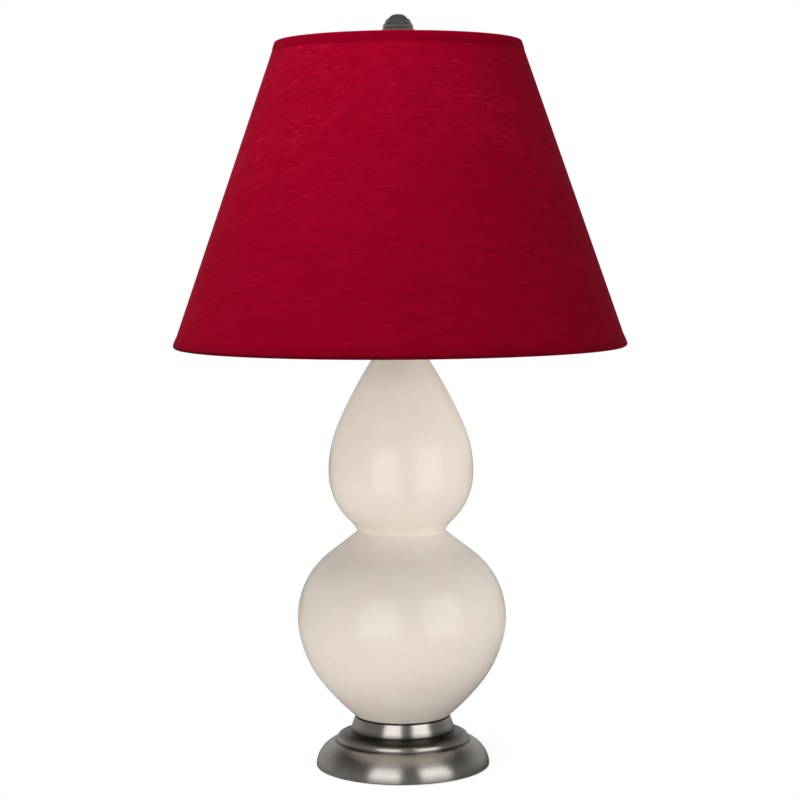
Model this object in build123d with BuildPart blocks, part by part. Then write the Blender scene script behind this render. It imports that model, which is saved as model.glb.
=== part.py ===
from build123d import *
from math import atan2, cos, hypot, radians, sin, sqrt
import os

# Double gourd table lamp: glazed ceramic body on a spun metal base, under a tapered fabric shade
# that hangs from a harp.  Millimetres.  The lamp's axis is Z, the table top is at height 0, the
# harp stands in the XZ plane, and the front of the lamp, with the switch knob, faces -Y.

os.makedirs("parts", exist_ok=True)

# ---------------------------------------------------------------------------------------------
# Driving dimensions
# ---------------------------------------------------------------------------------------------

# Base
felt_radius = 64.5
felt_height = 1.5
base_rim_height = 0.5
base_rim_radius = 67.4
base_wall = 1.5
collar_radius = 36.9
collar_height = 39.3
collar_lip_radius = 0.8
collar_draft = 4.0
flare_radius = 39.9
flare_height = 30.2
step_radius = 46.5
step_height = 24.5
step_drop = 0.4
ledge_radius = 51.6
ledge_height = 23.0
bead_radius = 53.9
bead_height = 21.3
groove_radius = 52.4
groove_height = 19.3
skirt_arc_radius = 21.0
gasket_radius = 36.3
gasket_height = 1.0
gasket_bore_radius = 20.0
weight_radius = 60.0
weight_rim_height = 9.0
weight_height = 14.0
weight_slope_width = 6.0
weight_hub_radius = 20.0
weight_hub_foot_width = 3.0
weight_hub_foot_height = 4.0
nut_pocket_radius = 14.0
nut_pocket_height = 10.0

# Cord outlet in the back of the base
outlet_tilt = 30.0
outlet_hole_radius = 4.8
outlet_bore_radius = 3.6
outlet_barrel_radius = 4.7
outlet_barrel_length = 5.0
outlet_flange_radius = 6.2
outlet_flange_height = 1.3
outlet_flange_sink = 0.15
outlet_flange_rounding = 0.5
outlet_channel_width = 11.2
outlet_channel_height = 11.0

# Ceramic body: a chain of tangent arcs from the foot up, each (radius, turn in degrees).
# A turn to the left swells outwards, and a turn to the right draws in at the waist and the neck.
gourd_foot_radius = 37.2
gourd_foot_slope = 40.8
gourd_wall = 6.0
gourd_hole_radius = 7.0
gourd_bends = [
    (191.0, 10.7),
    (88.1, 28.7),
    (64.3, 79.3),
    (7.2, -119.7),
    (51.6, 50.8),
    (94.5, 23.6),
    (348.0, 9.7),
    (18.0, -33.9),
]
neck_lip_height = 334.0

# Rod and neck fittings
pipe_radius = 4.85
pipe_bore_radius = 3.2
pipe_foot_height = 3.0
pipe_top_height = 362.0
pipe_chamfer = 0.5
thread_clearance = 0.05
rod_hole_radius = 5.3
washer_radius = 9.5
washer_height = 1.5
nut_across_flats = 14.3
nut_height = 4.5
vase_cap_radius = 19.5
vase_cap_crown_radius = 10.0
vase_cap_height = 4.6
vase_cap_skirt_drop = 2.2
vase_cap_skirt_wall = 1.2
check_ring_radius = 11.0
check_ring_height = 2.4
check_ring_rounding = 1.0
neck_tube_radius = 7.2
neck_tube_height = 9.0

# Harp, its saddle and its sleeves
saddle_width = 12.7
saddle_thickness = 1.6
saddle_tab_x = 27.6
saddle_shoulder_width = 9.0
saddle_shoulder_rise = 6.0
saddle_tab_width = 5.0
saddle_tab_rise = 16.0
saddle_tab_tip_radius = 2.4
saddle_bend_radius = 2.0
harp_wire_radius = 2.0
harp_leg_x = 25.45
harp_top_height = 547.0
harp_top_flat = 6.0
harp_shoulder_radius = 52.0
harp_waist_radius = 60.0
harp_side_slope = 20.0
harp_pad_radius = 6.5
rivet_gap = 0.2
sleeve_x = 26.75
sleeve_bore_radius = 3.65
sleeve_radius = 4.5
sleeve_length = 15.0
sleeve_taper = 1.5

# Swivel stud that carries the shade
stud_radius = 3.15
stud_top_height = 566.0
stud_chamfer = 0.8
stud_disc_radius = 9.0
stud_disc_height = 2.0
rivet_radius = 2.55
rivet_head_radius = 4.0
rivet_head_height = 2.0
rivet_head_chamfer = 1.0
running_clearance = 0.05

# Socket
socket_cap_radius = 18.0
socket_cap_wall = 0.9
socket_cap_rim_height = 371.0
socket_hub_height = 5.0
socket_bowl_rise = 8.0
socket_bowl_middle_radius = 14.6
socket_bowl_middle_rise = 2.6
set_screw_radius = 1.6
set_screw_height = 1.4
set_screw_slot_width = 0.5
screw_slot_depth = 0.8
shell_bead_height = 1.6
socket_shell_radius = 16.9
socket_shell_wall = 0.6
socket_shell_foot_height = 365.0
socket_shell_top_height = 420.0
liner_radius = 16.1
liner_wall = 0.6
core_radius = 14.6
core_bore_radius = 5.85
core_foot_height = 361.2
core_collar_height = 4.0
core_top_height = 396.0
terminal_height = 372.0
terminal_radius = 3.2
terminal_head_height = 1.8
terminal_slot_width = 0.8
terminal_pocket_width = 7.7
terminal_pocket_depth = 2.5
screw_shell_radius = 13.9
screw_shell_hole_radius = 8.9
screw_shell_wall = 0.5
screw_shell_height = 22.0
switch_height = 381.0
switch_hole_radius = 4.2
switch_stem_radius = 2.4
switch_stem_start = 8.0
switch_stem_reach = 24.0
knob_radius = 5.6
knob_length = 13.0
knob_start = 20.0
knob_draft = 4.0
knob_rounding = 0.4
knob_flute_count = 10
knob_flute_radius = 1.1

# Bulb
bulb_radius = 30.0
bulb_centre_height = 475.0
bulb_neck_radius = 13.4
bulb_neck_height = 6.0
bulb_throat_angle = 50.0
bulb_wall = 1.0
bulb_cap_radius = 13.1
bulb_cap_foot_height = 401.0
bulb_cap_height = 22.0
bulb_cap_chamfer = 2.5
bulb_contact_radius = 4.5
bulb_contact_tip_radius = 3.0
contact_leaf_height = 1.4

# Shade: a plain cone, measured over its folded hems
shade_bottom_radius = 174.2
shade_bottom_height = 326.9
shade_top_radius = 93.5
shade_top_height = 558.3
shade_fabric_thickness = 0.6
shade_liner_thickness = 0.5
hem_clearance = 0.1
hem_thickness = 0.5
hem_height = 9.0
fold_depth = 1.9
fold_width = 4.25
ring_wire_radius = 1.2
ring_inset = 2.85
ring_drop = 2.1
spider_arm_count = 3
spider_arm_radius = 1.3
spider_arm_overlap = 3.0
spider_snip_gap = 0.3
spider_hub_radius = 11.0
spider_hub_height = 3.0
spider_hole_radius = 3.3

# Finial: beads under an elliptical dome
lamp_height = 578.0
finial_radius = 12.5
finial_widest_height = 563.0
finial_foot_radius = 8.0
finial_foot_height = 1.6
finial_bead_count = 5
finial_bead_height = 3.6
finial_bead_swell = 0.3
finial_bead_cut = 0.7
finial_crown_radius = 3.9
finial_crown_height = 3.0
finial_bore_top_height = 568.0

# ---------------------------------------------------------------------------------------------
# Base
# ---------------------------------------------------------------------------------------------

with BuildPart() as foot_felt:
    with BuildSketch():
        Circle(felt_radius)
    extrude(amount=felt_height)
foot_felt.part.label = "foot_felt"

# The skirt is a round arc from the groove out to the rim.
rim_corner = Vector(base_rim_radius, base_rim_height)
groove_corner = Vector(groove_radius, groove_height)
skirt_chord = rim_corner - groove_corner
skirt_depth = sqrt(skirt_arc_radius**2 - (skirt_chord.length / 2) ** 2)
skirt_inward = Vector(skirt_chord.Y, -skirt_chord.X).normalized()
skirt_centre = (rim_corner + groove_corner) / 2 + skirt_inward * skirt_depth


def skirt_point(angle, inset=0):
    """A point of the skirt's outline, at an angle above the horizontal of the arc's centre."""
    reach = skirt_arc_radius - inset
    return skirt_centre + Vector(cos(radians(angle)), sin(radians(angle))) * reach


# The cord outlet's axis leaves the skirt square to it, at the back of the lamp.
outlet_mouth = skirt_point(outlet_tilt)
outlet_plane = Plane(
    origin=(0, outlet_mouth.X, outlet_mouth.Y),
    x_dir=(1, 0, 0),
    z_dir=(0, cos(radians(outlet_tilt)), sin(radians(outlet_tilt))),
)
outlet_axis = Axis(outlet_plane.origin, outlet_plane.z_dir)

lid_underside = collar_height - base_wall

with BuildPart() as base_shell:
    with BuildSketch(Plane.XZ):
        with BuildLine():
            lid_edge = (collar_radius - collar_lip_radius, collar_height)
            lid = Line((rod_hole_radius, collar_height), lid_edge)
            lip = JernArc(lid @ 1, (1, 0), collar_lip_radius, collar_draft - 90)
            flare = TangentArc(lip @ 1, (flare_radius, flare_height), tangent=lip % 1)
            cove = TangentArc(flare @ 1, (step_radius, step_height), tangent=flare % 1)
            step = Line(cove @ 1, (step_radius, step_height - step_drop))
            ledge = TangentArc(step @ 1, (ledge_radius, ledge_height), tangent=cove % 1)
            bead = ThreePointArc(ledge @ 1, (bead_radius, bead_height), groove_corner)
            skirt = ThreePointArc(bead @ 1, skirt_point(45), rim_corner)
            rim = Line(skirt @ 1, (base_rim_radius - base_wall, base_rim_height))
            inner_skirt = ThreePointArc(rim @ 1, skirt_point(38, base_wall), skirt_point(68, base_wall))
            Polyline(
                inner_skirt @ 1,
                (step_radius, step_height - step_drop - 2 * base_wall),
                (flare_radius - 1.2 * base_wall, flare_height - base_wall / 2),
                (collar_radius - base_wall, lid_underside - base_wall),
                (collar_radius - base_wall, lid_underside),
                (rod_hole_radius, lid_underside),
                lid @ 0,
            )
        make_face()
    revolve(axis=Axis.Z)
    with BuildSketch(outlet_plane.offset(-outlet_barrel_length)):
        Circle(outlet_hole_radius)
    extrude(amount=2 * outlet_barrel_length, mode=Mode.SUBTRACT)
base_shell.part.label = "base_shell"

with BuildPart() as base_weight:
    with BuildSketch(Plane.XZ):
        with BuildLine():
            Polyline(
                (rod_hole_radius, nut_pocket_height),
                (nut_pocket_radius, nut_pocket_height),
                (nut_pocket_radius, felt_height),
                (weight_radius, felt_height),
                (weight_radius, weight_rim_height),
                (weight_radius - weight_slope_width, weight_height),
                (weight_hub_radius + weight_hub_foot_width, weight_height),
                (weight_hub_radius, weight_height + weight_hub_foot_height),
                (weight_hub_radius, lid_underside),
                (rod_hole_radius, lid_underside),
                close=True,
            )
        make_face()
    revolve(axis=Axis.Z)
    with BuildSketch(Plane.XY.offset(felt_height)):
        with Locations((0, weight_radius / 2)):
            Rectangle(outlet_channel_width, weight_radius)
    extrude(amount=outlet_channel_height, mode=Mode.SUBTRACT)
base_weight.part.label = "base_weight"

with BuildPart() as cord_bushing:
    with BuildSketch(outlet_plane.offset(-outlet_barrel_length)):
        Circle(outlet_barrel_radius)
    extrude(amount=outlet_barrel_length)
    with BuildSketch(outlet_plane.offset(-outlet_flange_sink)):
        Circle(outlet_flange_radius)
    extrude(amount=outlet_flange_height)
    fillet(cord_bushing.faces().sort_by(outlet_axis)[-1].edges(), outlet_flange_rounding)
    with BuildSketch(outlet_plane.offset(-outlet_barrel_length)):
        Circle(outlet_bore_radius)
    extrude(amount=2 * outlet_barrel_length, mode=Mode.SUBTRACT)
cord_bushing.part.label = "cord_bushing"

with BuildPart() as seat_gasket:
    with BuildSketch(Plane.XY.offset(collar_height)):
        Circle(gasket_radius)
        Circle(gasket_bore_radius, mode=Mode.SUBTRACT)
    extrude(amount=gasket_height)
seat_gasket.part.label = "seat_gasket"

# ---------------------------------------------------------------------------------------------
# Ceramic body
# ---------------------------------------------------------------------------------------------

gourd_foot_height = collar_height + gasket_height


def gourd_section(inset, top_height):
    """Half of the gourd's section, its outline moved inwards by an inset, up to a flat top."""
    slope = radians(gourd_foot_slope)
    start = Vector(gourd_foot_radius, gourd_foot_height) + Vector(-sin(slope), cos(slope)) * inset
    with BuildSketch(Plane.XZ) as section:
        with BuildLine():
            Line((0, start.Y), start)
            point = start
            heading = Vector(cos(slope), sin(slope))
            for bend_radius, bend_turn in gourd_bends:
                side = 1 if bend_turn > 0 else -1
                bend = JernArc(point, heading, bend_radius - side * inset, bend_turn)
                point = bend @ 1
                heading = bend % 1
            Polyline(point, (point.X, top_height), (0, top_height), (0, start.Y))
        make_face()
    return section.sketch


with BuildPart() as gourd_body:
    revolve(gourd_section(0, neck_lip_height), axis=Axis.Z)
    revolve(gourd_section(gourd_wall, neck_lip_height + 1.0), axis=Axis.Z, mode=Mode.SUBTRACT)
    with BuildSketch(Plane.XY.offset(gourd_foot_height)):
        Circle(gourd_hole_radius)
    extrude(amount=2 * gourd_wall, mode=Mode.SUBTRACT)
gourd_body.part.label = "gourd_body"

# ---------------------------------------------------------------------------------------------
# Threaded rod and the fittings stacked on it
# ---------------------------------------------------------------------------------------------

threaded_hole_radius = pipe_radius + thread_clearance


def ring_face(outer_radius, inner_radius, height):
    """A flat ring round the lamp's axis."""
    with BuildSketch(Plane.XY.offset(height)) as ring:
        Circle(outer_radius)
        Circle(inner_radius, mode=Mode.SUBTRACT)
    return ring.sketch


with BuildPart() as threaded_pipe:
    pipe_length = pipe_top_height - pipe_foot_height
    extrude(ring_face(pipe_radius, pipe_bore_radius, pipe_foot_height), amount=pipe_length)
    pipe_rims = threaded_pipe.edges().filter_by(GeomType.CIRCLE).group_by(SortBy.RADIUS)[-1]
    chamfer(pipe_rims, pipe_chamfer)
threaded_pipe.part.label = "threaded_pipe"

washer_foot_height = nut_pocket_height - washer_height
nut_foot_height = washer_foot_height - nut_height

with BuildPart() as lock_washer:
    extrude(ring_face(washer_radius, rod_hole_radius, washer_foot_height), amount=washer_height)
lock_washer.part.label = "lock_washer"

with BuildPart() as lock_nut:
    with BuildSketch(Plane.XY.offset(nut_foot_height)):
        RegularPolygon(nut_across_flats / 2, 6, major_radius=False)
        Circle(threaded_hole_radius, mode=Mode.SUBTRACT)
    extrude(amount=nut_height)
lock_nut.part.label = "lock_nut"

vase_cap_top = neck_lip_height + vase_cap_height

with BuildPart() as vase_cap:
    with BuildSketch(Plane.XZ):
        with BuildLine():
            crown = Line((rod_hole_radius, vase_cap_top), (vase_cap_crown_radius, vase_cap_top))
            skirt_edge = (vase_cap_radius, neck_lip_height - vase_cap_skirt_drop)
            cap_side = TangentArc(crown @ 1, skirt_edge, tangent=(1, 0))
            Polyline(
                cap_side @ 1,
                (vase_cap_radius - vase_cap_skirt_wall, neck_lip_height - vase_cap_skirt_drop),
                (vase_cap_radius - 2 * vase_cap_skirt_wall, neck_lip_height),
                (rod_hole_radius, neck_lip_height),
                crown @ 0,
            )
        make_face()
    revolve(axis=Axis.Z)
vase_cap.part.label = "vase_cap"

with BuildPart() as check_ring:
    extrude(ring_face(check_ring_radius, rod_hole_radius, vase_cap_top), amount=check_ring_height)
    ring_rims = check_ring.edges().filter_by(GeomType.CIRCLE).group_by(SortBy.RADIUS)[-1]
    fillet(ring_rims, check_ring_rounding)
check_ring.part.label = "check_ring"

neck_tube_foot = vase_cap_top + check_ring_height
saddle_foot = neck_tube_foot + neck_tube_height
saddle_seat = saddle_foot + saddle_thickness

with BuildPart() as neck_tube:
    extrude(ring_face(neck_tube_radius, rod_hole_radius, neck_tube_foot), amount=neck_tube_height)
neck_tube.part.label = "neck_tube"

# ---------------------------------------------------------------------------------------------
# Harp: the saddle's strip turns up into two tabs, each leg of the bow stands on the strip against
# its tab, and a sleeve drops over the pair and rests on the tab's shoulders
# ---------------------------------------------------------------------------------------------

tab_outer_x = saddle_tab_x + saddle_thickness
inner_bend_top = (saddle_tab_x, saddle_seat + saddle_bend_radius)

with BuildPart() as harp_saddle:
    with BuildSketch(Plane.XZ):
        with BuildLine():
            strip = Line((0, saddle_foot), (saddle_tab_x - saddle_bend_radius, saddle_foot))
            outer_bend = JernArc(strip @ 1, (1, 0), saddle_bend_radius + saddle_thickness, 90)
            Polyline(
                outer_bend @ 1,
                (tab_outer_x, saddle_foot + saddle_tab_rise),
                (saddle_tab_x, saddle_foot + saddle_tab_rise),
                inner_bend_top,
            )
            inner_bend = JernArc(inner_bend_top, (0, -1), saddle_bend_radius, -90)
            Polyline(inner_bend @ 1, (0, saddle_seat), (0, saddle_foot))
        make_face()
        mirror(about=Plane.YZ)
    extrude(amount=saddle_width / 2, both=True)
    with BuildSketch(Plane.YZ):
        with Locations((0, saddle_foot + saddle_thickness / 2)):
            Rectangle(saddle_width, saddle_thickness)
        with Locations((0, saddle_foot + saddle_shoulder_rise / 2)):
            Rectangle(saddle_shoulder_width, saddle_shoulder_rise)
        with Locations((0, saddle_foot + saddle_tab_rise / 2)):
            RectangleRounded(saddle_tab_width, saddle_tab_rise, saddle_tab_tip_radius)
    extrude(amount=tab_outer_x, both=True, mode=Mode.INTERSECT)
    with BuildSketch(Plane.XY.offset(saddle_foot)):
        Circle(rod_hole_radius)
    extrude(amount=saddle_thickness, mode=Mode.SUBTRACT)
harp_saddle.part.label = "harp_saddle"

slope_down = radians(harp_side_slope)
shoulder_drop = harp_shoulder_radius * (1 + sin(slope_down))
shoulder_x = harp_top_flat + harp_shoulder_radius * cos(slope_down)
waist_step = harp_waist_radius * (1 - cos(slope_down))
side_length = (shoulder_x - harp_leg_x - waist_step) / sin(slope_down)
leg_foot = saddle_seat + harp_wire_radius

with BuildPart() as harp_bow:
    with BuildLine(Plane.XZ) as bow_line:
        top_run = Line((0, harp_top_height), (harp_top_flat, harp_top_height))
        shoulder = JernArc(top_run @ 1, (1, 0), harp_shoulder_radius, -90 - harp_side_slope)
        side_run = PolarLine(shoulder @ 1, side_length, direction=shoulder % 1)
        waist_bend = JernArc(side_run @ 1, side_run % 1, harp_waist_radius, harp_side_slope)
        Line(waist_bend @ 1, (harp_leg_x, leg_foot))
        mirror(about=Plane.YZ)
    with BuildSketch(Plane.XY.offset(leg_foot)):
        with Locations((harp_leg_x, 0)):
            Circle(harp_wire_radius)
    sweep(path=bow_line.wires()[0])
    with Locations((harp_leg_x, 0, leg_foot), (-harp_leg_x, 0, leg_foot)):
        Sphere(harp_wire_radius)
    with BuildSketch(Plane.XY.offset(harp_top_height - harp_wire_radius)):
        Circle(harp_pad_radius)
    extrude(amount=2 * harp_wire_radius)
    with BuildSketch(Plane.XY.offset(harp_top_height - harp_wire_radius)):
        Circle(rivet_radius + running_clearance)
    extrude(amount=2 * harp_wire_radius, mode=Mode.SUBTRACT)
harp_bow.part.label = "harp_bow"

sleeve_foot = saddle_foot + saddle_shoulder_rise

with BuildPart() as harp_sleeve_right:
    with BuildSketch(Plane.XY.offset(sleeve_foot)):
        with Locations((sleeve_x, 0)):
            Circle(sleeve_radius)
    extrude(amount=sleeve_length, taper=sleeve_taper)
    with BuildSketch(Plane.XY.offset(sleeve_foot)):
        with Locations((sleeve_x, 0)):
            Circle(sleeve_bore_radius)
    extrude(amount=sleeve_length, mode=Mode.SUBTRACT)
harp_sleeve_right.part.label = "harp_sleeve_right"

with BuildPart() as harp_sleeve_left:
    mirror(harp_sleeve_right.part, about=Plane.YZ)
harp_sleeve_left.part.label = "harp_sleeve_left"

disc_foot = harp_top_height + harp_wire_radius + rivet_gap
stud_seat = disc_foot + stud_disc_height
rivet_head_top = harp_top_height - harp_wire_radius - rivet_gap

with BuildPart() as swivel_stud:
    with BuildSketch(Plane.XZ):
        with BuildLine():
            Polyline(
                (0, rivet_head_top - rivet_head_height),
                (rivet_head_radius - rivet_head_chamfer, rivet_head_top - rivet_head_height),
                (rivet_head_radius, rivet_head_top - rivet_head_height + rivet_head_chamfer),
                (rivet_head_radius, rivet_head_top),
                (rivet_radius, rivet_head_top),
                (rivet_radius, disc_foot),
                (stud_disc_radius, disc_foot),
                (stud_disc_radius, stud_seat),
                (stud_radius, stud_seat),
                (stud_radius, stud_top_height - stud_chamfer),
                (stud_radius - stud_chamfer, stud_top_height),
                (0, stud_top_height),
                close=True,
            )
        make_face()
    revolve(axis=Axis.Z)
swivel_stud.part.label = "swivel_stud"

# ---------------------------------------------------------------------------------------------
# Socket
# ---------------------------------------------------------------------------------------------

hub_top = saddle_seat + socket_hub_height
cap_inner_radius = socket_cap_radius - socket_cap_wall
bowl_top = hub_top + socket_bowl_rise
bowl_middle = Vector(socket_bowl_middle_radius, hub_top + socket_bowl_middle_rise)
inner_bowl_middle = bowl_middle + Vector(-socket_cap_wall, socket_cap_wall) * sin(radians(45))

with BuildPart() as socket_cap:
    with BuildSketch(Plane.XZ):
        with BuildLine():
            hub_side = Polyline(
                (threaded_hole_radius, saddle_seat),
                (neck_tube_radius, saddle_seat),
                (neck_tube_radius, hub_top - socket_cap_wall),
            )
            bowl = ThreePointArc(hub_side @ 1, bowl_middle, (socket_cap_radius, bowl_top))
            rim_line = Polyline(
                bowl @ 1,
                (socket_cap_radius, socket_cap_rim_height),
                (cap_inner_radius, socket_cap_rim_height),
                (cap_inner_radius, bowl_top),
            )
            inner_bowl = ThreePointArc(rim_line @ 1, inner_bowl_middle, (neck_tube_radius, hub_top))
            Polyline(inner_bowl @ 1, (threaded_hole_radius, hub_top), hub_side @ 0)
        make_face()
    revolve(axis=Axis.Z)
socket_cap.part.label = "socket_cap"

with BuildPart() as cap_set_screw:
    with BuildSketch(Plane.XZ.offset(neck_tube_radius)):
        with Locations((0, saddle_seat + socket_hub_height / 2)):
            Circle(set_screw_radius)
    extrude(amount=set_screw_height)
    with BuildSketch(Plane.XZ.offset(neck_tube_radius + set_screw_height - screw_slot_depth)):
        with Locations((0, saddle_seat + socket_hub_height / 2)):
            Rectangle(2 * set_screw_radius, set_screw_slot_width)
    extrude(amount=screw_slot_depth, mode=Mode.SUBTRACT)
cap_set_screw.part.label = "cap_set_screw"

switch_plane = Plane(origin=(0, 0, switch_height), x_dir=(1, 0, 0), z_dir=(0, -1, 0))

shell_height = socket_shell_top_height - socket_shell_foot_height
shell_bore = socket_shell_radius - socket_shell_wall
shell_bead_radius = socket_shell_radius + socket_shell_wall
shell_top_bead_foot = socket_shell_top_height - shell_bead_height

with BuildPart() as socket_shell:
    extrude(ring_face(socket_shell_radius, shell_bore, socket_shell_foot_height), amount=shell_height)
    extrude(ring_face(shell_bead_radius, shell_bore, socket_cap_rim_height), amount=shell_bead_height)
    extrude(ring_face(shell_bead_radius, shell_bore, shell_top_bead_foot), amount=shell_bead_height)
    with BuildSketch(switch_plane):
        Circle(switch_hole_radius)
    extrude(amount=socket_cap_radius, mode=Mode.SUBTRACT)
socket_shell.part.label = "socket_shell"

with BuildPart() as socket_liner:
    liner_bore = liner_radius - liner_wall
    extrude(ring_face(liner_radius, liner_bore, socket_shell_foot_height), amount=shell_height)
    with BuildSketch(switch_plane):
        Circle(switch_hole_radius)
    extrude(amount=socket_cap_radius, mode=Mode.SUBTRACT)
socket_liner.part.label = "socket_liner"

terminal_pocket_plane = Plane.YZ.offset(core_radius - terminal_pocket_depth)
terminal_slot_plane = terminal_pocket_plane.offset(terminal_head_height - screw_slot_depth)

with BuildPart() as socket_core:
    core_collar_top = core_foot_height + core_collar_height
    extrude(ring_face(core_radius, core_bore_radius, core_foot_height), amount=core_collar_height)
    with BuildSketch(Plane.XY.offset(core_collar_top)):
        Circle(core_radius)
    extrude(amount=core_top_height - core_collar_top)
    with BuildSketch(switch_plane):
        Circle(switch_stem_radius + running_clearance)
    extrude(amount=core_radius, mode=Mode.SUBTRACT)
    with BuildSketch(terminal_pocket_plane) as pocket:
        with Locations((0, terminal_height)):
            Rectangle(terminal_pocket_width, terminal_pocket_width)
    extrude(amount=terminal_pocket_depth, mode=Mode.SUBTRACT)
    extrude(mirror(pocket.sketch, Plane.YZ), amount=terminal_pocket_depth, dir=(-1, 0, 0), mode=Mode.SUBTRACT)
socket_core.part.label = "socket_core"

with BuildPart() as terminal_screws:
    with BuildSketch(terminal_pocket_plane):
        with Locations((0, terminal_height)):
            Circle(terminal_radius)
    extrude(amount=terminal_head_height)
    with BuildSketch(terminal_slot_plane):
        with Locations((0, terminal_height)):
            Rectangle(2 * terminal_radius, terminal_slot_width)
    extrude(amount=screw_slot_depth, mode=Mode.SUBTRACT)
    mirror(about=Plane.YZ)
terminal_screws.part.label = "terminal_screws"

with BuildPart() as screw_shell:
    screw_shell_bore = screw_shell_radius - screw_shell_wall
    extrude(ring_face(screw_shell_radius, screw_shell_bore, core_top_height), amount=screw_shell_height)
    extrude(ring_face(screw_shell_radius, screw_shell_hole_radius, core_top_height), amount=screw_shell_wall)
screw_shell.part.label = "screw_shell"

with BuildPart() as centre_contact:
    with BuildSketch(Plane.XY.offset(core_top_height)):
        Circle(bulb_contact_radius)
    extrude(amount=contact_leaf_height)
centre_contact.part.label = "centre_contact"

with BuildPart() as switch_stem:
    with BuildSketch(switch_plane.offset(switch_stem_start)):
        Circle(switch_stem_radius)
    extrude(amount=switch_stem_reach - switch_stem_start)
switch_stem.part.label = "switch_stem"

with BuildPart() as switch_knob:
    with BuildSketch(switch_plane.offset(knob_start)):
        Circle(knob_radius)
        with PolarLocations(knob_radius, knob_flute_count):
            Circle(knob_flute_radius, mode=Mode.SUBTRACT)
    extrude(amount=knob_length, taper=knob_draft)
    fillet(switch_knob.faces().sort_by(Axis.Y)[0].edges(), knob_rounding)
    with BuildSketch(switch_plane.offset(knob_start)):
        Circle(switch_stem_radius)
    extrude(amount=switch_stem_reach - knob_start, mode=Mode.SUBTRACT)
switch_knob.part.label = "switch_knob"

# ---------------------------------------------------------------------------------------------
# Bulb
# ---------------------------------------------------------------------------------------------

bulb_seam_height = bulb_cap_foot_height + bulb_cap_height
neck_top_height = bulb_seam_height + bulb_neck_height


def bulb_section(inset):
    """Half of the bulb's section: a straight neck, a drawn-in throat and a round head."""
    reach = bulb_radius - inset
    throat = Vector(cos(radians(bulb_throat_angle)), -sin(radians(bulb_throat_angle))) * reach
    throat_heading = (sin(radians(bulb_throat_angle)), cos(radians(bulb_throat_angle)))
    seam_end = (bulb_neck_radius - inset, bulb_seam_height + inset)
    with BuildSketch(Plane.XZ) as section:
        with BuildLine():
            seam = Line((0, bulb_seam_height + inset), seam_end)
            neck = Line(seam @ 1, (bulb_neck_radius - inset, neck_top_height))
            Spline(neck @ 1, throat + Vector(0, bulb_centre_height), tangents=[(0, 1), throat_heading])
            head = CenterArc((0, bulb_centre_height), reach, -bulb_throat_angle, 90 + bulb_throat_angle)
            Line(head @ 1, seam @ 0)
        make_face()
    return section.sketch


with BuildPart() as bulb_glass:
    revolve(bulb_section(0), axis=Axis.Z)
    revolve(bulb_section(bulb_wall), axis=Axis.Z, mode=Mode.SUBTRACT)
bulb_glass.part.label = "bulb_glass"

with BuildPart() as bulb_cap:
    with BuildSketch(Plane.XY.offset(bulb_cap_foot_height)):
        Circle(bulb_cap_radius)
    extrude(amount=bulb_cap_height)
    chamfer(bulb_cap.edges().group_by(Axis.Z)[0], bulb_cap_chamfer)
bulb_cap.part.label = "bulb_cap"

contact_foot = core_top_height + contact_leaf_height

with BuildPart() as bulb_contact:
    with BuildSketch(Plane.XY.offset(contact_foot)):
        Circle(bulb_contact_tip_radius)
    with BuildSketch(Plane.XY.offset(bulb_cap_foot_height)):
        Circle(bulb_contact_radius)
    loft()
bulb_contact.part.label = "bulb_contact"

# ---------------------------------------------------------------------------------------------
# Shade
# ---------------------------------------------------------------------------------------------

shade_lean = atan2(shade_bottom_radius - shade_top_radius, shade_top_height - shade_bottom_height)
slant_length = hypot(shade_bottom_radius - shade_top_radius, shade_top_height - shade_bottom_height)

# Each edge plane starts on the shade's outer face, with X running in square to the cone and Y
# along the slant into the shade.
inward = (-cos(shade_lean), 0, -sin(shade_lean))
top_edge = Plane(origin=(shade_top_radius, 0, shade_top_height), x_dir=inward, z_dir=(0, -1, 0))
bottom_edge = Plane(origin=(shade_bottom_radius, 0, shade_bottom_height), x_dir=inward, z_dir=(0, 1, 0))


def layer_section(inset, thickness):
    """One layer of the shade's wall, at an inset from the outer face of its hems."""
    margin = fold_depth + hem_clearance
    with BuildSketch(bottom_edge) as section:
        with Locations((inset, margin)):
            Rectangle(thickness, slant_length - 2 * margin, align=(Align.MIN, Align.MIN))
    return section.sketch


def hem_section(edge_plane):
    """A band of fabric folded over an edge of the shade and back over its ring wire."""
    middle = hem_thickness / 2
    wrap_radius = ring_wire_radius + hem_thickness / 2 + hem_clearance + 0.2
    with BuildSketch(edge_plane) as section:
        with BuildLine():
            band = Line((middle, hem_height), (middle, fold_depth))
            fold = ThreePointArc(
                band @ 1,
                (middle + fold_width / 2, middle),
                (middle + fold_width, fold_depth),
            )
            ThreePointArc(
                fold @ 1,
                (ring_inset + wrap_radius * sin(radians(45)), ring_drop + wrap_radius * cos(radians(45))),
                (ring_inset, ring_drop + wrap_radius),
            )
        trace(line_width=hem_thickness)
    return section.sketch


def ring_wire_section(edge_plane):
    """The round wire that stiffens an edge of the shade."""
    with BuildSketch(edge_plane) as section:
        with Locations((ring_inset, ring_drop)):
            Circle(ring_wire_radius)
    return section.sketch


with BuildPart() as shade_fabric:
    revolve(layer_section(hem_thickness, shade_fabric_thickness), axis=Axis.Z)
shade_fabric.part.label = "shade_fabric"

with BuildPart() as shade_liner:
    liner_inset = hem_thickness + shade_fabric_thickness
    revolve(layer_section(liner_inset, shade_liner_thickness), axis=Axis.Z)
shade_liner.part.label = "shade_liner"

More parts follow.
